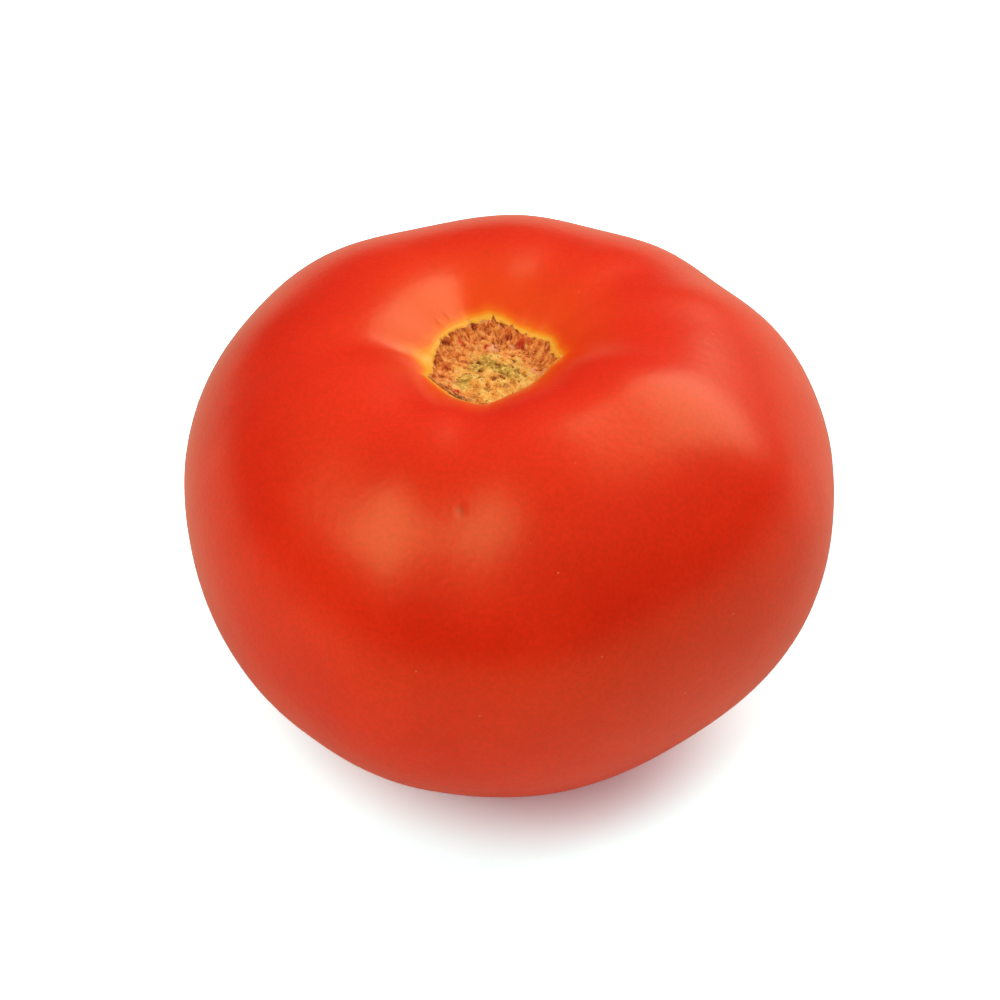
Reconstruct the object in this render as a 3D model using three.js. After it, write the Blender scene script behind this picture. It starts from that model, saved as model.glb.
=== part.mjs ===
// A ripe slicing tomato, picked, with no stalk: a squat, softly ribbed fruit in one piece.
// The crown sinks into a basin, and the corky crater where the stalk broke off lies at its floor.
// The fruit rests on a small flat spot round the blossom end, where a shallow dimple sits.
// Units are millimetres and degrees. +Z is up, and the origin is on the table under the fruit's middle.

import * as THREE from "three";
import { mergeVertices } from "three/addons/utils/BufferGeometryUtils.js";

// Body: a fruit wider than it is high, fullest at its waist.
const WAIST_RADIUS = 42;
const CROWN_HEIGHT = 27.9; // waist up to the shoulders, before the basin is sunk
const BASE_DEPTH = 32.2; // waist down to the table
const CROWN_FULLNESS = 2.01; // superellipse exponents: 2 is an ellipse, more is boxier
const BASE_FULLNESS = 2.15;
const FLAT_RADIUS = 9; // the spot it rests on

// Nothing about the fruit is a true circle. Each swell adds a share, `lobes` times round.
const WAIST_SWELLS = [
  { lobes: 2, share: 0.011, azimuth: 23 },
  { lobes: 3, share: 0.024, azimuth: 11 },
];
const SHOULDER_SWELLS = [
  { lobes: 1, share: 0.13, azimuth: -84 }, // the shoulders stand highest at the front
  { lobes: 2, share: 0.024, azimuth: -32 },
];
const BASIN_SWELLS = [{ lobes: 1, share: 0.34, azimuth: -103 }];
const CRATER_SWELLS = [{ lobes: 2, share: 0.036, azimuth: 47 }];

// Grooves between the fruit's lobes run down from the basin. Each is deepest on the shoulder and
// has faded at `reach`, the angle down the side: 0 at the crater, 90 at the waist, 180 at the base.
const GROOVES = [
  { azimuth: 16.5, depth: 3.2, width: 15, reach: 115 },
  { azimuth: 40, depth: 3.4, width: 14.5, reach: 143 },
  { azimuth: 68, depth: 2.9, width: 15.5, reach: 77 },
  { azimuth: 111, depth: 3.3, width: 22, reach: 150 },
  { azimuth: 149, depth: 2.1, width: 19.5, reach: 126 },
  { azimuth: 178, depth: 3.4, width: 15, reach: 41 },
  { azimuth: 231, depth: 0.7, width: 13, reach: 150 },
  { azimuth: 260, depth: 2, width: 13, reach: 92 },
  { azimuth: 309, depth: 0.8, width: 17.5, reach: 150 },
  { azimuth: 356.5, depth: 2.7, width: 16.5, reach: 150 },
];

const BASE_GROOVE_HOLD = 1.5; // how long a groove keeps its depth as the base narrows

// Stem end: the basin falls ever more steeply to the crater's rim.
const BASIN_DEPTH = 8.4;
const BASIN_SPREAD = 9; // how far out from the rim the basin's fall has dropped to a third
const CRATER_OFFSET = new THREE.Vector3(-1.8, 1.8, 0); // the stalk stood a little to one side
const CRATER_RADIUS = 7.8;
const CRATER_DEPTH = 2.6;
const CRATER_FLOOR = 0.62; // the floor's share of the rim's radius
const CRATER_DOME = 0.7; // rise of the floor's middle, the stub of the stalk's core
const DOME_SPREAD = 0.37; // share of the rim's radius at which the dome has dropped to a third

// Blossom end: a dimple in the middle of the flat spot.
const DIMPLE_RADIUS = 3.6;
const DIMPLE_DEPTH = 0.6;

// Mesh density. The crown's rings crowd towards the crater.
const SEGMENTS = 96;
const CROWN_RINGS = 20;
const CROWN_CROWDING = 1.5;
const BASE_RINGS = 16;
const CRATER_SHARES = [0.22, 0.42, CRATER_FLOOR, 0.72, 0.82, 0.92];
const FLAT_RADII = [6.3, DIMPLE_RADIUS, 2.4, 1.2];

const rad = THREE.MathUtils.degToRad;

// 1 in the middle of a dip or swell, falling to 0 on both sides.
const bell = (distance, width) => Math.exp(-((distance / width) ** 2));

// The smallest turn between two azimuths.
const turnBetween = (a, b) => Math.abs(THREE.MathUtils.euclideanModulo(a - b + 180, 360) - 180);

const swell = (swells, azimuth) =>
  swells.reduce((sum, s) => sum + s.share * Math.cos(rad(s.lobes * (azimuth - s.azimuth))), 1);

// Depth of all the grooves together, at an azimuth and an angle down the side.
const grooveDepth = (azimuth, down) =>
  GROOVES.reduce(
    (sum, g) => sum + g.depth * bell(turnBetween(azimuth, g.azimuth), g.width) * bell(down, g.reach),
    0,
  );

// A point of the skin. `down` runs from 0 at the crater's rim to 180 at the edge of the flat spot.
function skinPoint(azimuth, down) {
  const crown = down < 90;
  const power = 2 / (crown ? CROWN_FULLNESS : BASE_FULLNESS);
  const across = Math.sin(rad(down)) ** power;
  const along = Math.abs(Math.cos(rad(down))) ** power;
  const inner = crown ? CRATER_RADIUS * swell(CRATER_SWELLS, azimuth) : FLAT_RADIUS;
  const waist = WAIST_RADIUS * swell(WAIST_SWELLS, azimuth);

  let radius = inner + (waist - inner) * across;
  let height = crown ? CROWN_HEIGHT * swell(SHOULDER_SWELLS, azimuth) * along : -BASE_DEPTH * along;
  const groove = grooveDepth(azimuth, down) / WAIST_RADIUS;
  // A groove draws the skin in towards the fruit's middle. It softens towards the crater, and it
  // leaves the flat spot where it is.
  const ends = crown ? across : Math.min(1, across * BASE_GROOVE_HOLD);
  height -= height * groove * (crown ? Math.sqrt(radius / WAIST_RADIUS) : ends);
  radius -= radius * groove * ends;
  if (crown) {
    height -= BASIN_DEPTH * swell(BASIN_SWELLS, azimuth) * Math.exp(-(radius - inner) / BASIN_SPREAD);
  }
  const point = new THREE.Vector3(radius, 0, height).applyAxisAngle(new THREE.Vector3(0, 0, 1), rad(azimuth));
  return crown ? point.addScaledVector(CRATER_OFFSET, along ** 2) : point;
}

// A point of the crater: `share` runs from 0 at its middle to 1 at its rim.
function craterPoint(azimuth, share) {
  const rim = skinPoint(azimuth, 0);
  const wall = THREE.MathUtils.smoothstep(share, CRATER_FLOOR, 1);
  const dome = CRATER_DOME * bell(share, DOME_SPREAD);
  const point = CRATER_OFFSET.clone().lerp(rim, share);
  point.z = THREE.MathUtils.lerp(craterFloorHeight + dome, rim.z, wall);
  return point;
}

const azimuths = Array.from({ length: SEGMENTS }, (_, i) => (i * 360) / SEGMENTS);
const rimHeights = azimuths.map((azimuth) => skinPoint(azimuth, 0).z);
const craterFloorHeight = rimHeights.reduce((a, b) => a + b) / SEGMENTS - CRATER_DEPTH;

// A point of the base: flat at the table, with the dimple rising in its middle.
const basePoint = (azimuth, radius) =>
  new THREE.Vector3(
    radius * Math.cos(rad(azimuth)),
    radius * Math.sin(rad(azimuth)),
    -BASE_DEPTH + (radius < DIMPLE_RADIUS ? DIMPLE_DEPTH * (1 - (radius / DIMPLE_RADIUS) ** 2) : 0),
  );

// Every ring of points from the crater's middle out, down the side and in to the blossom end.
function rings() {
  const ringOf = (pointAt) => azimuths.map(pointAt);
  const crown = Array.from({ length: CROWN_RINGS }, (_, i) => 90 * (i / CROWN_RINGS) ** CROWN_CROWDING);
  const base = Array.from({ length: BASE_RINGS + 1 }, (_, i) => 90 + (90 * i) / BASE_RINGS);
  return [
    ...CRATER_SHARES.map((share) => ringOf((azimuth) => craterPoint(azimuth, share))),
    ...[...crown, ...base].map((down) => ringOf((azimuth) => skinPoint(azimuth, down))),
    ...FLAT_RADII.map((radius) => ringOf((azimuth) => basePoint(azimuth, radius))),
  ];
}

// Closes a stack of rings into one solid, with a fan over each end.
function fruitGeometry() {
  const stack = rings();
  const top = craterPoint(0, 0);
  const bottom = basePoint(0, 0);
  const points = [];
  const triangle = (a, b, c) => points.push(a, b, c);

  for (let i = 0; i < SEGMENTS; i++) {
    const next = (i + 1) % SEGMENTS;
    triangle(top, stack[0][i], stack[0][next]);
    for (let r = 0; r + 1 < stack.length; r++) {
      const [upper, lower] = [stack[r], stack[r + 1]];
      triangle(upper[i], lower[i], lower[next]);
      triangle(upper[i], lower[next], upper[next]);
    }
    triangle(bottom, stack.at(-1)[next], stack.at(-1)[i]);
  }
  const geometry = mergeVertices(new THREE.BufferGeometry().setFromPoints(points), 1e-4);
  geometry.computeBoundingBox();
  const box = geometry.boundingBox;
  const middle = box.getCenter(new THREE.Vector3());
  geometry.translate(-middle.x, -middle.y, -box.min.z);
  geometry.computeVertexNormals();
  return geometry;
}

const skinMaterial = new THREE.MeshStandardMaterial({ color: 0xd42a14, roughness: 0.35, metalness: 0 });

const fruit = new THREE.Mesh(fruitGeometry(), skinMaterial);
fruit.name = "tomato";

const tomato = new THREE.Group();
tomato.add(fruit);

export default tomato;
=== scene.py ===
# A ripe slicing tomato, picked, with no stalk: its looks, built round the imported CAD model.
# The visual fruit is one mesh. Its form is read off the CAD node, rounded and sampled finely, and
# then the stem scar, the blossom scar and the skin get their small shapes and their materials.
# Lengths are metres, written as millimetres times MM. Angles are degrees, and azimuth 0 is +X.
import math

import bmesh
import bpy
import numpy as np
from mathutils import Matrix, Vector, noise
from mathutils.bvhtree import BVHTree


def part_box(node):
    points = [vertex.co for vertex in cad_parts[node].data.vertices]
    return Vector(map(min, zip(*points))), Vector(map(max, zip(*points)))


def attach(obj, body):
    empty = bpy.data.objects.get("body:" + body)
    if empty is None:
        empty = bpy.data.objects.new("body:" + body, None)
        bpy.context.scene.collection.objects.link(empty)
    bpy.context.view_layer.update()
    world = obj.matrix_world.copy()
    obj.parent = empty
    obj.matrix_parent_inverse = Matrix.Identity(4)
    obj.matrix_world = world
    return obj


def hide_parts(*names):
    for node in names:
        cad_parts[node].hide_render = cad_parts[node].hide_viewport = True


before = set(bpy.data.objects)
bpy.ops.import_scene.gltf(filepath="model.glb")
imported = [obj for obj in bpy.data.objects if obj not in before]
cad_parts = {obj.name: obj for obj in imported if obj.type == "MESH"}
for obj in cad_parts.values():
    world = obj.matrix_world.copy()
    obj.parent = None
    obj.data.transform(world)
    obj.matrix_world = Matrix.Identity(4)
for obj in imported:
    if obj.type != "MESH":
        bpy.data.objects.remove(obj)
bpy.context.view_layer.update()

MM = 0.001


# ---------------------------------------------------------------- what the frame gives

low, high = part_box("tomato")
cad_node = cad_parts["tomato"]
cad_points = np.array([cad_node.matrix_world @ vertex.co for vertex in cad_node.data.vertices])

WIDTH = high.x - low.x
MIDDLE = Vector((0, 0, (low.z + high.z) / 2))
CORE_RADIUS = 20 * MM  # a disc inside the fruit, which the rays that find the skin point at
RAY_START = high.z + 20 * MM  # how far off those rays start
LEVEL = 0.15 * MM  # points this close in height lie level


def lowest_middle(points):
    """The middle of the lowest of these points, at height 0."""
    lowest = points[points[:, 2] < points[:, 2].min() + LEVEL]
    return lowest.mean(axis=0) * (1, 1, 0)


near_stem = (cad_points[:, 2] > MIDDLE.z) & (np.hypot(cad_points[:, 0], cad_points[:, 1]) < CORE_RADIUS)
SCAR_CENTRE = lowest_middle(cad_points[near_stem])
BLOSSOM_CENTRE = lowest_middle(cad_points)


# ---------------------------------------------------------------- chosen values

# Studio: the camera is far off and looks down on the fruit.
CAMERA_ELEVATION = 46
CAMERA_DISTANCE = 7.55 * WIDTH
CAMERA_LENS = 176.5
CAMERA_SHIFT = (-0.0092, -0.0014)
LAMP_DISTANCE = 1.0
FLOOR_RADIUS = 8 * WIDTH  # no further than the lamps keep it white
FLOOR_GAP = 0.02 * MM  # keeps the floor clear of the flat spot that rests on it

# Mesh density.
ROUNDING = 3  # how many times the CAD's faces are split and smoothed
SEGMENTS = 384  # points round every ring; a multiple of 4, so that a square grid closes each end
CAP_SHARE = 0.6  # share of a scar's radius that the grid in its middle covers
SCAR_RINGS = 30
BASE_RINGS = 6
END_STEP = 0.2  # tilt from ring to ring at the skin's two ends
WAIST_STEP = 1.4  # and between them
STEP_GROWTH = 1.09
OFF_SCAR = 2.0  # stands for the share of the stem scar's radius, at points outside it

# Stem scar: the cork left in the crater where the stalk broke off.
# Its outline, as azimuths and radii in millimetres, with straight torn edges between them.
SCAR_OUTLINE = [
    (0, 7.4), (18, 7.1), (34, 7.6), (54, 7.0), (76, 7.5), (98, 8.4), (125, 8.0), (148, 8.0), (174, 7.8),
    (192, 8.2), (203, 9.3), (217, 8.0), (241, 7.6), (262, 7.7), (283, 7.0), (311, 6.5), (341, 6.7),
]
# Slivers of cork that reach out over the skin: azimuth, length and width in millimetres.
SCAR_SLIVERS = [(357, 0.9, 0.3), (60, 0.3, 0.2), (76, 0.5, 0.25), (93, 0.6, 0.2), (150, 0.3, 0.2)]
TEAR_DEPTH = 0.24 * MM  # how far the torn edge strays from the outline
TEAR_SIZE = 0.12  # in radians along the edge
# Its coloured patches, each as X, Y and spread, in millimetres from the scar's middle.
OLIVE_PATCHES = [(-1.8, 2.1, 2.0), (2.1, 0.2, 1.3), (-4.2, -1.3, 1.4), (0.2, 0.8, 0.9)]
RED_STAINS = [
    (-1.3, 5.1, 0.4), (0.95, 6.7, 0.8), (-4.9, -3.6, 0.6), (3.0, 5.65, 0.8), (-4.4, 5.2, 0.5),
    (-6.3, 1.1, 0.4),
]
PALE_PULP = [(5.9, -0.8, 0.7), (4.6, 0.6, 0.5), (-0.4, 4.6, 0.9), (-5.2, -1.2, 0.3), (1.9, 5.0, 0.5)]
LEDGE_AZIMUTH = 228  # the wall is shallow here, and the skin's torn layers show as ridges on it
LEDGE_SPREAD = 32
LAYER_GAP = 0.075  # share of the radius from one ridge to the next
WRAP_RADIUS = 8 * MM  # noise that runs round the scar is read off a ring of this radius

# Fibres: slivers that stand up from the scar's wall and rim.
FIBRE_COUNT = 75
FIBRE_SIDES = 5
FIBRE_SHARES = (0.7, 0.99)  # where they stand, as shares of the scar's radius
FIBRE_TAPER = [(-0.35, 1), (0.2, 1), (0.6, 0.75), (0.9, 0.4)]  # shares of its length, with its girth there
FIBRE_RELIEF = 0.4  # a little darker than the cork that they stand on

# Halo: the unripe yellow ring round the scar. Widths are in millimetres.
HALO_WIDTH = 0.75
HALO_NARROWS = 280  # the azimuth where it is narrowest
HALO_GROOVE = 178  # the azimuth of the groove that it runs out along
FLUSH = 0.18  # the orange flush outside it, as a share of the halo's strength

# Blossom end: a small corky scar in the dimple under the fruit.
BLOSSOM_RADIUS = 5 * MM
BLOSSOM_CORK = 2.1 * MM

# Small raised blemishes on the shoulders: X, Y, spread along both, and height, in millimetres.
BLEMISHES = [
    (-5.8, -26.5, 0.3, 0.4, 0.09),
    (-7.8, 10.0, 0.35, 0.3, 0.035),
    (-9.0, 8.9, 0.3, 0.25, 0.03),
    (-14.2, 10.4, 0.5, 0.25, 0.03),
    (-9.3, 17.5, 0.35, 0.4, 0.035),
    (-2.9, 20.5, 0.3, 0.35, 0.03),
    (12.6, -0.4, 0.3, 0.35, 0.03),
]
STAINED_HEIGHT = 0.09  # a blemish this high, in millimetres, has its full dark colour


# ---------------------------------------------------------------- noise and ramps

def fractal(points, size, octaves=4, seed=0):
    """Smooth noise of about -1 to 1 at points, with lumps `size` across."""
    shift = Vector((seed * 13.7, seed * 7.3, seed * 3.1))
    roughness, gap = 1.0, 2.0
    return np.array([noise.fractal(Vector(p) / size + shift, roughness, gap, octaves) for p in points])


def smooth(value, start, end):
    """0 before start, 1 after end, and an even ramp between."""
    t = np.clip((value - start) / (end - start), 0, 1)
    return t * t * (3 - 2 * t)


def bump(value, middle, width):
    """1 at the middle, falling to 0 on both sides."""
    return np.exp(-(((value - middle) / width) ** 2))


def turn_between(a, b):
    """The smallest turn between azimuths."""
    return np.abs((a - b + 180) % 360 - 180)


def unit(azimuths):
    """Level unit vectors at these azimuths."""
    turn = np.radians(azimuths)
    return np.stack([np.cos(turn), np.sin(turn), np.zeros_like(turn)], axis=-1)


# ---------------------------------------------------------------- form

def rounded_form(node):
    """A tree of the CAD node's surface with its facets rounded away, for rays to meet."""
    bm = bmesh.new()
    bm.from_mesh(node.data)
    bmesh.ops.remove_doubles(bm, verts=bm.verts, dist=0.001 * MM)
    bmesh.ops.join_triangles(bm, faces=bm.faces, angle_face_threshold=math.pi, angle_shape_threshold=math.pi)
    mesh = bpy.data.meshes.new("form")
    bm.to_mesh(mesh)
    bm.free()
    form = bpy.data.objects.new("form", mesh)
    bpy.context.scene.collection.objects.link(form)
    form.modifiers.new("rounding", "SUBSURF").levels = ROUNDING
    tree = BVHTree.FromObject(form, bpy.context.evaluated_depsgraph_get())
    bpy.data.objects.remove(form)
    return tree


def meet(tree, starts, directions):
    """Where rays first meet the tree's surface. They may share one direction."""
    rays = zip(starts, np.broadcast_to(directions, starts.shape))
    return np.array([tree.ray_cast(Vector(start), Vector(direction))[0] for start, direction in rays])


def outline_radius(azimuths):
    """Radius of the stem scar's outline, before it is torn."""
    at, radius = np.array(SCAR_OUTLINE).T
    return np.interp(azimuths, at, radius, period=360) * MM


def rim_radius(azimuths):
    """Radius of the stem scar's torn rim, with its slivers."""
    radius = outline_radius(azimuths)
    for azimuth, length, width in SCAR_SLIVERS:
        radius += length * MM * bump(turn_between(azimuths, azimuth), 0, np.degrees(width * MM / radius))
    return radius + TEAR_DEPTH * fractal(unit(azimuths), TEAR_SIZE, seed=1)


def scar_points(tree, azimuths, shares):
    """Points of the crater. A share is 0 at its middle and 1 at its rim."""
    over = SCAR_CENTRE + unit(azimuths) * (rim_radius(azimuths) * shares)[:, None]
    over[:, 2] = RAY_START
    return meet(tree, over, (0.0, 0.0, -1.0))


def skin_points(tree, azimuths, tilt):
    """A ring of the skin. Its tilt is 0 at the crater's rim, 90 at the waist, 180 at the blossom scar."""
    across = math.sin(math.radians(tilt))
    up = math.cos(math.radians(tilt))
    inner = rim_radius(azimuths) if up > 0 else np.full(len(azimuths), BLOSSOM_RADIUS)
    core = unit(azimuths) * (inner + (CORE_RADIUS - inner) * across)[:, None]
    core += SCAR_CENTRE * max(up, 0) + BLOSSOM_CENTRE * max(-up, 0)
    core[:, 2] = MIDDLE.z
    outward = unit(azimuths) * across
    outward[:, 2] = up
    return meet(tree, core + outward * RAY_START, -outward)


def base_points(tree, azimuths, shares):
    """Points of the blossom scar. A share is 0 at its middle and 1 at its edge."""
    under = BLOSSOM_CENTRE + unit(azimuths) * np.reshape(BLOSSOM_RADIUS * shares, (-1, 1))
    under[:, 2] = -RAY_START
    return meet(tree, under, (0.0, 0.0, 1.0))


def skin_tilts():
    """Tilts of the skin's rings: close together at both ends, and evenly spaced between."""
    steps = [END_STEP]
    while steps[-1] * STEP_GROWTH < WAIST_STEP:
        steps.append(steps[-1] * STEP_GROWTH)
    ends = np.cumsum(steps)
    count = round((180 - 2 * ends[-1]) / WAIST_STEP)
    middle = np.linspace(ends[-1], 180 - ends[-1], count + 1)
    return np.concatenate([[0], ends, middle[1:-1], (180 - ends)[::-1], [180]])


def ring_parts(tree):
    """Every ring from the stem scar out, down the skin and in to the blossom scar, as its azimuths,
    its points and their shares of the stem scar's radius."""
    turns = np.arange(SEGMENTS) * 360 / SEGMENTS
    for share in np.linspace(CAP_SHARE, 1, SCAR_RINGS + 1)[:-1]:
        yield turns, scar_points(tree, turns, share), np.full(SEGMENTS, share)
    for tilt in skin_tilts():
        yield turns, skin_points(tree, turns, tilt), np.full(SEGMENTS, OFF_SCAR if tilt else 1.0)
    for share in np.linspace(1, CAP_SHARE, BASE_RINGS + 1)[1:]:
        yield turns, base_points(tree, turns, share), np.full(SEGMENTS, OFF_SCAR)


def ring_quads(start, sides):
    """Quads from the ring whose points start here to the next ring."""
    here = start + np.arange(sides)
    after = start + (np.arange(sides) + 1) % sides
    return np.stack([here, here + sides, after + sides, after], axis=-1)


def disc_grid():
    """A square grid bent into a disc: its azimuths, its shares of the radius, its quads' corners,
    and which points are on its edge. The edge has one point for each of a ring's."""
    n = SEGMENTS // 4
    side = np.linspace(-1, 1, n + 1)
    a, b = np.meshgrid(side, side, indexing="ij")
    wide = np.abs(a) > np.abs(b)
    share = np.where(wide, a, b)
    ratio = np.where(wide, b / np.where(wide, a, 1), a / np.where(wide | (b == 0), 1, b))
    azimuth = np.where(wide, 45 * ratio, 90 - 45 * ratio) + np.where(share < 0, 180, 0)
    index = np.arange((n + 1) ** 2).reshape(n + 1, n + 1)
    quads = np.stack([index[:-1, :-1], index[1:, :-1], index[1:, 1:], index[:-1, 1:]], axis=-1)
    edge = np.zeros((n + 1, n + 1), bool)
    edge[[0, -1], :] = edge[:, [0, -1]] = True
    return azimuth.ravel() % 360, np.abs(share).ravel(), quads.reshape(-1, 4), edge.ravel()


class Surface:
    """The fruit's surface, as points, quads and triangles. For each point it has the azimuth, the
    share of the stem scar's radius, the distance outside that scar, and marks for the materials."""

    def __init__(self, tree):
        parts = list(ring_parts(tree))
        rings = len(parts)
        grid_azimuth, grid_share, grid_quads, grid_edge = disc_grid()
        inside = ~grid_edge
        azimuth, share = grid_azimuth[inside], grid_share[inside] * CAP_SHARE
        parts.append((azimuth, scar_points(tree, azimuth, share), share))
        parts.append((azimuth, base_points(tree, azimuth, share), np.full(len(share), OFF_SCAR)))
        self.azimuth, self.points, self.scar = (np.concatenate(values) for values in zip(*parts))

        # Each end's grid has points of its own inside, and the first or last ring's points at its edge.
        on_ring = np.round(grid_azimuth / 360 * SEGMENTS).astype(int) % SEGMENTS
        own = rings * SEGMENTS + np.cumsum(inside) - 1
        top = np.where(inside, own, on_ring)
        bottom = np.where(inside, own + inside.sum(), (rings - 1) * SEGMENTS + on_ring)
        side = [ring_quads(row * SEGMENTS, SEGMENTS) for row in range(rings - 1)]
        self.quads = np.concatenate([*side, top[grid_quads], bottom[grid_quads][:, ::-1]])
        self.triangles = []
        self.from_scar = self.distance_from_scar()
        self.marks = {}

    def distance_from_scar(self):
        """How far each point is outside the stem scar's outline, seen from above; 0 inside it."""
        level = self.points - SCAR_CENTRE
        around = np.degrees(np.arctan2(level[:, 1], level[:, 0])) % 360
        outside = np.hypot(level[:, 0], level[:, 1]) - outline_radius(around)
        on_crown = self.points[:, 2] > MIDDLE.z
        return np.where(on_crown, np.clip(outside, 0, None), CORE_RADIUS)

    def mark(self, name, where, values):
        """Keeps a value for each of these points, for the materials to read; 0 for all the others."""
        self.marks.setdefault(name, np.zeros(len(self.points)))[where] = values

    def add_spike(self, rings, foot, tip, root):
        """Adds a closed spike through these rings of points, with what is known of its root point."""
        start = len(self.points)
        count, sides = rings.shape[:2]
        rows = start + np.arange(count - 1) * sides
        facing_out = [0, 3, 2, 1]
        self.quads = np.concatenate([self.quads, *(ring_quads(row, sides)[:, facing_out] for row in rows)])
        last = rows[-1] + sides
        foot_at, tip_at = last + sides, last + sides + 1
        for here in range(sides):
            after = (here + 1) % sides
            self.triangles.append((foot_at, start + after, start + here))
            self.triangles.append((tip_at, last + here, last + after))
        self.points = np.concatenate([self.points, rings.reshape(-1, 3), [foot, tip]])

        added = len(self.points) - start
        self.azimuth = np.append(self.azimuth, np.full(added, self.azimuth[root]))
        self.scar = np.append(self.scar, np.full(added, self.scar[root]))
        self.from_scar = np.append(self.from_scar, np.full(added, self.from_scar[root]))
        for name, values in self.marks.items():
            self.marks[name] = np.append(values, np.full(added, values[root]))
        self.marks["relief"][start:] = FIBRE_RELIEF

    def normals(self):
        """The direction that the surface faces at each point."""
        mesh = bpy.data.meshes.new("normals")
        mesh.from_pydata(self.points.tolist(), [], self.quads.tolist())
        normals = np.zeros(len(self.points) * 3)
        mesh.vertex_normals.foreach_get("vector", normals)
        bpy.data.meshes.remove(mesh)
        return normals.reshape(-1, 3)


# ---------------------------------------------------------------- small shapes

def blemish_height(points):
    """How high the blemishes stand at points, in millimetres. Each is a ring, higher on one side."""
    height = np.zeros(len(points))
    for x, y, spread_x, spread_y, full in BLEMISHES:
        across = (points[:, 0] / MM - x) / spread_x
        along = (points[:, 1] / MM - y) / spread_y
        height += full * bump(np.hypot(across, along), 0.8, 0.7) * (1 + np.tanh(across + along))
    return height * (points[:, 2] > MIDDLE.z)


def uneven_skin(surface):
    """Real skin is never quite fair: it swells in and out, puckers near the scar, and has blemishes."""
    swells = fractal(surface.points, 9 * MM, octaves=2, seed=11)
    swells *= smooth(surface.from_scar, 0, 4 * MM) * smooth(surface.points[:, 2], 0, 3 * MM)
    puckers = fractal(unit(surface.azimuth) * WRAP_RADIUS, 0.9 * MM, octaves=2, seed=12)
    puckers *= np.exp(-surface.from_scar / (1.2 * MM)) * (surface.from_scar > 0)
    blemishes = blemish_height(surface.points)
    surface.marks["blemish"] = np.clip(blemishes / STAINED_HEIGHT, 0, 1)
    lift = 0.05 * (swells + puckers) + blemishes
    surface.points += surface.normals() * (lift * MM)[:, None]


def halo(surface):
    """Marks the unripe yellow ring round the stem scar, and the orange flush outside it."""
    azimuth = surface.azimuth
    width = HALO_WIDTH - 0.25 * bump(turn_between(azimuth, HALO_NARROWS), 0, 45)
    width += 1.2 * bump(turn_between(azimuth, HALO_GROOVE), 0, 9)
    width *= 1 + 0.35 * fractal(surface.points, 2.5 * MM, octaves=2, seed=10)
    ring = np.exp(-((surface.from_scar / (width * MM)) ** 1.5))
    flush_spread = (11 + 6 * np.sin(np.radians(azimuth))) * MM  # widest behind the scar
    surface.marks["halo"] = ring + FLUSH * bump(surface.from_scar, 0, flush_spread)


def carve_blossom_end(surface):
    """Marks and roughens the small cork scar in the dimple underneath."""
    level = surface.points - BLOSSOM_CENTRE
    out = np.hypot(level[:, 0], level[:, 1])
    near = (out < 3 * BLOSSOM_CORK) & (surface.points[:, 2] < 3 * MM)
    ragged = fractal(surface.points[near], 1.2 * MM, seed=13)
    cork = smooth(1.2 - out[near] / BLOSSOM_CORK + 0.3 * ragged, 0.1, 0.6)
    surface.points[near, 2] += (0.12 * ragged * cork + 0.25 * cork) * MM
    surface.mark("blossom", near, cork)


def spots(points, places):
    """1 at each place, fading with its spread. Places are in millimetres from the scar's middle."""
    level = (points - SCAR_CENTRE)[:, :2] / MM
    total = np.zeros(len(points))
    for x, y, spread in places:
        total += bump(np.hypot(level[:, 0] - x, level[:, 1] - y), 0, spread)
    return total


def carve_scar(surface):
    """Gives the stem scar its torn lip, fibrous wall, lumpy floor, pits and ledge.
    Heights are in millimetres."""
    here = surface.scar <= 1
    points, share, azimuth = surface.points[here], surface.scar[here], surface.azimuth[here]
    rim = surface.points[surface.scar == 1]
    rim_height = np.interp(azimuth, surface.azimuth[surface.scar == 1], rim[:, 2], period=360)
    around = unit(azimuth) * WRAP_RADIUS

    ledge = bump(turn_between(azimuth, LEDGE_AZIMUTH), 0, LEDGE_SPREAD) * smooth(share, 0.66, 0.9)
    layers = np.abs(np.sin(math.pi * (share - 0.7) / LAYER_GAP + fractal(around, 3 * MM, seed=3)))
    pits = smooth(fractal(points, 0.8 * MM, octaves=3, seed=7), 0.25, 0.6)
    fibres = fractal(around + np.outer(share, (0, 0, 4 * MM)), 0.5 * MM, seed=4)
    wall = (1 - ledge) * (0.3 * fibres - 0.12 * pits)
    lumps = fractal(points, 1.8 * MM, octaves=3, seed=5)
    grain = fractal(points, 0.5 * MM, octaves=3, seed=6)
    fewer_in_front = 0.5 + 0.5 * smooth(points[:, 1], 0, 3 * MM)
    floor = 0.3 * lumps + 0.12 * grain - 0.35 * pits * fewer_in_front
    pulp = smooth(spots(points, PALE_PULP) + 0.35 * grain, 0.4, 0.8)
    on_wall = smooth(share + 0.08 * fractal(points, 2 * MM, seed=2), 0.56, 0.72)
    relief = on_wall * wall + (1 - on_wall) * floor + 0.12 * ledge * (layers - 0.5) + 0.35 * pulp
    # The relief mark also carries painted shade: low places are painted darker, and the rim is marked lower
    # still, which paints it a darker brown and dulls a highlight there.
    surface.mark("relief", here, 0.5 + relief - 0.22 * smooth(share, 0.92, 1))
    surface.mark("layers", here, ledge * layers)
    surface.mark("pulp", here, pulp)
    surface.mark("wall", here, wall_share(points, share, azimuth, ledge))

    lip = 0.35 * bump(share, 0.97, 0.03) * np.clip(0.4 + fractal(around, 0.9 * MM, seed=8), 0, None)
    edge = 1 - 0.75 * smooth(share, 0.97, 1)
    undercut = 0.7 * bump(share, 0.86, 0.1) * (1 - ledge)
    points[:, 2] += (rim_height - 0.5 * MM - points[:, 2]) * ledge * 0.75
    points[:, 2] += ((relief + lip) * edge - undercut) * MM
    points -= unit(azimuth) * (0.5 * relief * on_wall * edge * MM)[:, None]
    surface.points[here] = points


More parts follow.
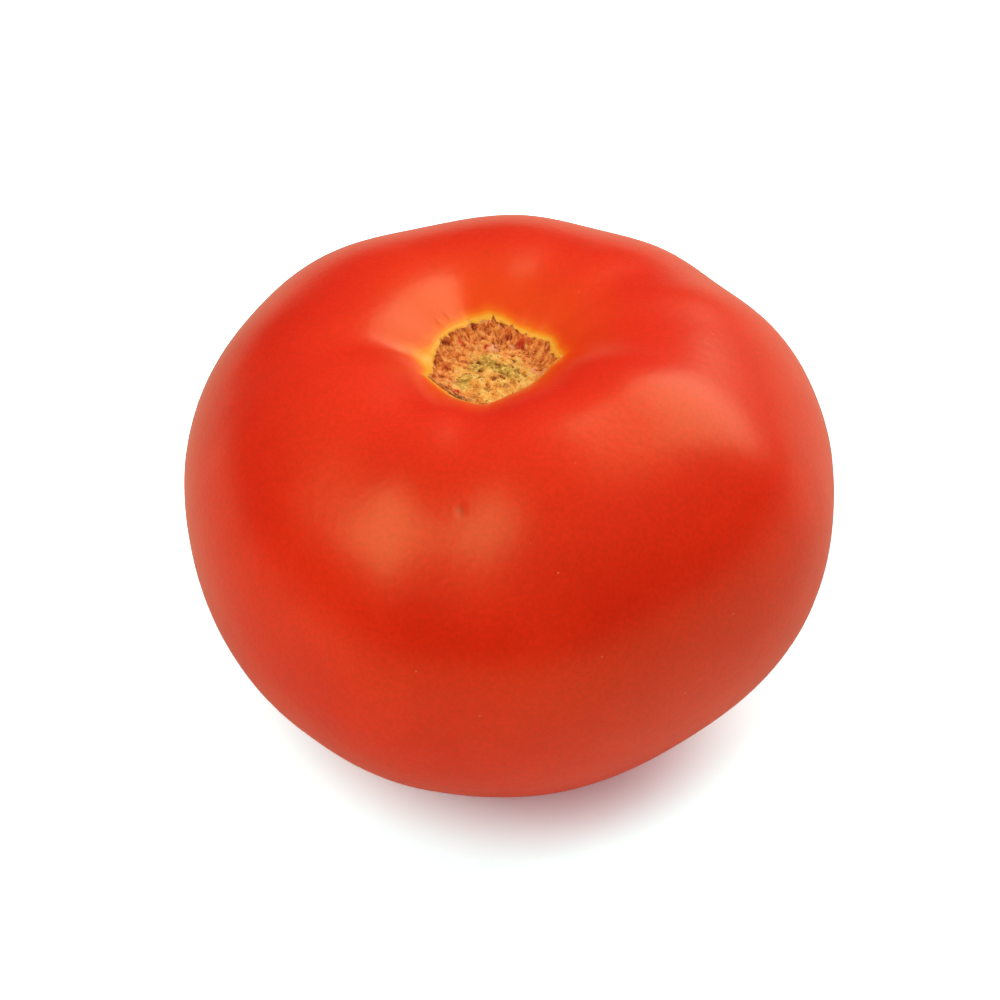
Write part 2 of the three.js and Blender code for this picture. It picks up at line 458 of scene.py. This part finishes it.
def wall_share(points, share, azimuth, ledge):
    """How much of the wall's brown a point has. It reaches further in at the back, and over the ledge."""
    further_back = np.sin(np.radians(azimuth))
    ragged = fractal(points, 1.5 * MM, seed=14)
    return np.clip(smooth(share + 0.22 * ragged + 0.133 * further_back, 0.45, 0.8) + ledge, 0, 1)


def stain_scar(surface):
    """Marks the olive and the red stains on the stem scar."""
    here = surface.scar <= 1
    points = surface.points[here]
    ragged = fractal(points, 1.1 * MM, seed=9)
    surface.mark("olive", here, smooth(spots(points, OLIVE_PATCHES) + 0.5 * ragged, 0.25, 0.9))
    surface.mark("red", here, smooth(spots(points, RED_STAINS) + 0.6 * ragged, 0.35, 1.1))


def add_fibres(surface):
    """Stands thin slivers of cork on the scar's wall and rim, each a closed spike."""
    random = np.random.default_rng(5)
    first, last = FIBRE_SHARES
    ground = np.flatnonzero((surface.scar > first) & (surface.scar < last))
    section = unit(np.arange(FIBRE_SIDES) * 360 / FIBRE_SIDES)
    for root in random.choice(ground, FIBRE_COUNT, replace=False):
        near_rim = (surface.scar[root] - first) / (last - first)
        length = random.uniform(0.45, 0.9) * (1 - 0.35 * near_rim) * MM
        thickness = random.uniform(0.05, 0.1) * MM
        lean = random.normal(0, 0.3, 3) + unit(surface.azimuth[root]) * (0.8 * near_rim - 0.1)
        lean[2] = 1
        curl = random.normal(0, 0.12, 3)
        middles = [surface.points[root] + (lean * t + curl * t * t) * length for t, _ in FIBRE_TAPER]
        rings = [middle + section * thickness * girth for middle, (_, girth) in zip(middles, FIBRE_TAPER)]
        foot = surface.points[root] - lean * 0.4 * length
        tip = surface.points[root] + (lean + curl) * 1.1 * length
        surface.add_spike(np.array(rings), foot, tip, root)


# ---------------------------------------------------------------- materials

def rgba(colour):
    """A grey or a colour, as the four numbers that a node takes."""
    return (colour, colour, colour, 1) if isinstance(colour, (int, float)) else (*colour, 1)


class Graph:
    """The nodes of a material or a world, with short ways to add the few kinds that are used here."""

    def __init__(self, owner, shader):
        owner.use_nodes = True
        self.tree = owner.node_tree
        self.shader = self.tree.nodes[shader]
        self.coordinates = self.add("TexCoord").outputs

    def add(self, kind):
        return self.tree.nodes.new("ShaderNode" + kind)

    def feed(self, target, value):
        """Links another node's output to an input, or sets the input to a constant."""
        if isinstance(value, bpy.types.NodeSocket):
            self.tree.links.new(value, target)
        else:
            target.default_value = rgba(value) if target.type == "RGBA" else value

    def set(self, **values):
        """Feeds the shader's own inputs, which are named here with _ for a space."""
        for name, value in values.items():
            self.feed(self.shader.inputs[name.replace("_", " ")], value)

    def attribute(self, name):
        """A mark that the mesh carries."""
        node = self.add("Attribute")
        node.attribute_name = name
        return node.outputs["Fac"]

    def noise(self, size, detail=3, roughness=0.5):
        node = self.add("TexNoise")
        self.feed(node.inputs["Vector"], self.coordinates["Object"])
        self.feed(node.inputs["Scale"], 1 / size)
        self.feed(node.inputs["Detail"], detail)
        self.feed(node.inputs["Roughness"], roughness)
        return node.outputs["Fac"]

    def cells(self, size):
        """The distance to the nearest of some points scattered about `size` apart."""
        node = self.add("TexVoronoi")
        self.feed(node.inputs["Vector"], self.coordinates["Object"])
        self.feed(node.inputs["Scale"], 1 / size)
        return node.outputs["Distance"]

    def ramp(self, factor, *stops, interpolation="EASE"):
        """Colours by factor: each stop is a position and a colour or a grey."""
        node = self.add("ValToRGB")
        node.color_ramp.interpolation = interpolation
        elements = node.color_ramp.elements
        while len(elements) < len(stops):
            elements.new(0.5)
        for element, (position, colour) in zip(elements, stops):
            element.position = position
            element.color = rgba(colour)
        self.feed(node.inputs["Fac"], factor)
        return node.outputs["Color"]

    def mix(self, factor, a, b, blend="MIX"):
        node = self.add("Mix")
        node.data_type = "RGBA"
        node.blend_type = blend
        factor_input, a_input, b_input, result = 0, 6, 7, 2  # the node's colour sockets
        self.feed(node.inputs[factor_input], factor)
        self.feed(node.inputs[a_input], a)
        self.feed(node.inputs[b_input], b)
        return node.outputs[result]

    def bump(self, height, depth):
        node = self.add("Bump")
        self.feed(node.inputs["Height"], height)
        self.feed(node.inputs["Distance"], depth)
        self.set(Normal=node.outputs["Normal"])

    def by_ray(self, camera, glossy, other):
        """A colour that depends on what kind of ray asks: the camera's, a reflection, or any other."""
        ray = self.add("LightPath")
        unseen = self.mix(ray.outputs["Is Glossy Ray"], other, glossy)
        return self.mix(ray.outputs["Is Camera Ray"], unseen, camera)


def new_material(name):
    """A material and its graph."""
    material = bpy.data.materials.new(name)
    return material, Graph(material, "Principled BSDF")


def skin_material():
    """Thin, waxy, deep red skin over wet flesh, turning yellow where it meets the stem scar."""
    material, g = new_material("tomato_skin")
    blotches = g.ramp(g.noise(14 * MM), (0.35, (0.88, 0.018, 0.002)), (0.65, (0.94, 0.024, 0.003)))
    grain = g.ramp(g.noise(0.5 * MM, detail=2), (0.3, 0.9), (0.7, 1.0))
    mottled = g.mix(1.0, blotches, grain, "MULTIPLY")
    specks = g.ramp(g.cells(5 * MM), (0.02, 0.6), (0.035, 0.0))
    mottled = g.mix(specks, mottled, (0.95, 0.25, 0.09))
    mottled = g.mix(g.attribute("blemish"), mottled, (0.6, 0.02, 0.006))
    unripe = g.ramp(
        g.attribute("halo"),
        (0.0, (0.88, 0.018, 0.003)), (0.3, (0.95, 0.12, 0.004)), (0.6, (1, 0.28, 0.008)),
        (0.95, (1, 0.48, 0.045)),
    )
    unripe_share = g.ramp(g.attribute("halo"), (0.02, 0.0), (0.3, 1.0))
    blossom = g.ramp(g.noise(0.5 * MM, detail=4), (0.35, (0.16, 0.05, 0.015)), (0.6, (0.55, 0.27, 0.09)))
    colour = g.mix(g.attribute("blossom"), g.mix(unripe_share, mottled, unripe), blossom)
    g.set(Base_Color=colour, Roughness=0.31, Specular_Tint=(1, 0.9, 0.35))
    g.set(Subsurface_Weight=0.25, Subsurface_Radius=(1.0, 0.25, 0.1), Subsurface_Scale=2 * MM)
    g.bump(g.ramp(g.noise(1.2 * MM), (0.2, 0.0), (0.8, 1.0)), 0.015 * MM)
    return material


def cork_material():
    """Dry torn cork: brown fibres on the wall, and a cream floor with olive patches and specks."""
    material, g = new_material("stem_scar")
    wall = g.ramp(
        g.noise(0.8 * MM, detail=6, roughness=0.8),
        (0.34, (0.16, 0.028, 0.003)), (0.43, (0.58, 0.14, 0.015)), (0.52, (0.95, 0.32, 0.05)),
        (0.64, (1, 0.58, 0.17)),
    )
    pale = g.ramp(
        g.noise(1.2 * MM, detail=6, roughness=0.75),
        (0.36, (0.55, 0.18, 0.015)), (0.46, (0.95, 0.42, 0.06)), (0.6, (1, 0.66, 0.16)),
    )
    olive = g.ramp(
        g.noise(0.7 * MM, detail=5, roughness=0.8),
        (0.38, (0.20, 0.09, 0.006)), (0.48, (0.50, 0.28, 0.022)), (0.62, (0.95, 0.62, 0.11)),
    )
    specks = g.ramp(g.noise(0.3 * MM, detail=2), (0.61, 0.0), (0.68, 0.9))
    floor = g.mix(specks, g.mix(g.attribute("olive"), pale, olive), (0.15, 0.055, 0.008))
    colour = g.mix(g.attribute("wall"), floor, wall)
    colour = g.mix(g.attribute("red"), colour, (0.72, 0.055, 0.012))
    colour = g.mix(g.attribute("pulp"), colour, (0.95, 0.42, 0.19))
    # Painted shade: the cork is darkened where its carved relief lies low, in its pits and hollows and along
    # its rim.
    painted_hollow_shade = g.ramp(g.attribute("relief"), (0.15, (0.5, 0.28, 0.12)), (0.5, 1.0))
    layers = g.ramp(g.attribute("layers"), (0.3, 1.0), (0.8, 0.45))
    colour = g.mix(1.0, g.mix(1.0, colour, painted_hollow_shade, "MULTIPLY"), layers, "MULTIPLY")
    g.set(Base_Color=colour, Roughness=0.8)
    g.bump(g.noise(0.3 * MM, detail=6, roughness=0.7), 0.12 * MM)
    return material


# ---------------------------------------------------------------- studio

def make_camera():
    elevation = math.radians(CAMERA_ELEVATION)
    back = Vector((0, -math.cos(elevation), math.sin(elevation)))
    data = bpy.data.cameras.new("camera")
    data.lens = CAMERA_LENS
    data.shift_x, data.shift_y = CAMERA_SHIFT
    camera = bpy.data.objects.new("camera", data)
    camera.location = MIDDLE + back * CAMERA_DISTANCE
    camera.rotation_euler = (-back).to_track_quat("-Z", "Y").to_euler()
    bpy.context.scene.collection.objects.link(camera)
    bpy.context.scene.camera = camera


def soft_box(name, azimuth, elevation, size, radiance):
    """A square, slightly warm soft box that faces the fruit."""
    away = Vector(unit(azimuth)) * math.cos(math.radians(elevation))
    away.z = math.sin(math.radians(elevation))
    data = bpy.data.lights.new(name, "AREA")
    data.size = size
    data.energy = radiance * math.pi * size**2
    data.color = (1, 0.98, 0.9)
    light = bpy.data.objects.new(name, data)
    light.location = MIDDLE + away * LAMP_DISTANCE
    light.rotation_euler = away.to_track_quat("Z", "Y").to_euler()
    bpy.context.scene.collection.objects.link(light)


def make_world():
    """A studio that is bright above and dark round the horizon, with a white backdrop."""
    world = bpy.data.worlds.new("studio")
    g = Graph(world, "Background")
    direction = g.add("SeparateXYZ")
    g.feed(direction.inputs["Vector"], g.coordinates["Generated"])
    room = g.ramp(direction.outputs["Z"], (0.15, 0.06), (0.75, (0.42, 0.4, 0.42)), interpolation="LINEAR")
    g.set(Color=g.by_ray(camera=1.2, glossy=room, other=room))
    bpy.context.scene.world = world


def floor_material():
    """White paper. What the camera sees of it is overexposed, as in a studio shot, and tinted to
    offset the red light that the fruit throws on it."""
    material, g = new_material("white_floor")
    paper = g.by_ray(camera=(1.35, 2.15, 2.2), glossy=(0.68, 0.62, 0.44), other=1.0)
    glow = g.by_ray(camera=(0.04, 0.03, 0.04), glossy=0.0, other=0.0)
    g.set(Base_Color=paper, Roughness=1, Specular_IOR_Level=0)
    g.set(Emission_Color=glow, Emission_Strength=1)
    return material


def make_floor():
    bm = bmesh.new()
    bmesh.ops.create_circle(bm, cap_ends=True, segments=64, radius=FLOOR_RADIUS)
    mesh = bpy.data.meshes.new("floor")
    bm.to_mesh(mesh)
    bm.free()
    mesh.materials.append(floor_material())
    floor = bpy.data.objects.new("floor", mesh)
    floor.location.z = low.z - FLOOR_GAP
    bpy.context.scene.collection.objects.link(floor)


def make_studio():
    make_camera()
    make_world()
    make_floor()
    soft_box("soft_box_back_right", azimuth=43, elevation=36, size=0.85, radiance=3.1)
    soft_box("soft_box_front_left", azimuth=216, elevation=51, size=0.7, radiance=3.1)
    bpy.context.scene.view_settings.view_transform = "Standard"


# ---------------------------------------------------------------- the fruit

def fruit_mesh(surface):
    """The surface as a mesh: cork on the stem scar and skin elsewhere, with the marks as attributes."""
    mesh = bpy.data.meshes.new("tomato_fruit")
    faces = surface.quads.tolist() + surface.triangles
    mesh.from_pydata(surface.points.tolist(), [], faces)
    mesh.polygons.foreach_set("use_smooth", np.ones(len(faces), bool))
    mesh.materials.append(skin_material())
    mesh.materials.append(cork_material())
    is_cork = [int(all(surface.scar[corner] <= 1 for corner in face)) for face in faces]
    mesh.polygons.foreach_set("material_index", is_cork)
    for name, values in surface.marks.items():
        mesh.attributes.new(name, "FLOAT", "POINT").data.foreach_set("value", values.astype(np.float32))
    mesh.update()
    return mesh


def make_fruit():
    surface = Surface(rounded_form(cad_node))
    uneven_skin(surface)
    halo(surface)
    carve_blossom_end(surface)
    carve_scar(surface)
    stain_scar(surface)
    add_fibres(surface)
    fruit = bpy.data.objects.new("tomato_fruit", fruit_mesh(surface))
    bpy.context.scene.collection.objects.link(fruit)
    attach(fruit, "root")
    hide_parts("tomato")


make_studio()
make_fruit()
